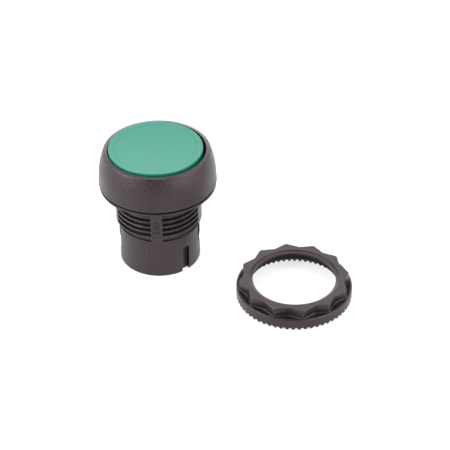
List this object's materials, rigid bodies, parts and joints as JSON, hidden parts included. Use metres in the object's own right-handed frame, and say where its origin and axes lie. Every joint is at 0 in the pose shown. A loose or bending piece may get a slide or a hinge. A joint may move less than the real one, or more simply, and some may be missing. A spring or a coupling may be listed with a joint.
{
  "type": "panel push button head",
  "caption": "Flush round momentary push button head with domed bezel, interrupted panel thread and keyed rear skirt, with a loose star-shaped toothed mounting ring.",
  "frame": {"origin": "on the head's axis at the panel's front face, which is the gasket's rear face", "axes": "+Z out of the panel towards the person who presses the button; -Y is the side seen from the front; the loose mounting ring lies towards +X and -Y, on the plane of the head's rear rim"},
  "size_m": [0.0634, 0.047, 0.0328],
  "materials": {
    "barrel_plastic": "satin moulded, glass-filled",
    "bezel_plastic": "fine spark-eroded texture",
    "ring_plastic": "satin moulded, glass-filled",
    "cap_green": "semi-gloss",
    "gasket_rubber": "smooth",
    "diaphragm_rubber": "smooth",
    "bush_acetal": "smooth",
    "inner_grey_plastic": "smooth",
    "carrier_plastic": "smooth",
    "pusher_plastic": "smooth",
    "spring_steel": "drawn wire"
  },
  "bodies": {
    "head": {"threaded_body": "barrel_plastic", "front_bezel": "bezel_plastic", "panel_gasket": "gasket_rubber", "seal_clamp_ring": "inner_grey_plastic", "diaphragm_seal": "diaphragm_rubber", "guide_bush": "bush_acetal", "return_spring": "spring_steel"},
    "button": {"button_cap": "cap_green", "cap_carrier": "carrier_plastic", "plunger": "inner_grey_plastic", "pusher_plate": "pusher_plastic"},
    "ring": {"mounting_ring": "ring_plastic"}
  },
  "joints": [
    {"name": "button_press", "type": "slide", "parent": "head", "child": "button", "axis": [0, 0, -1], "range_m": [0, 0.004], "stiffness_N_per_m": 500, "springref_m": -0.008, "deforming": ["return_spring", "diaphragm_seal"]},
    {"name": "ring_lift", "type": "slide", "parent": "head", "child": "ring", "axis": [0, 0, 1], "range_m": [0, 0.035]}
  ]
}
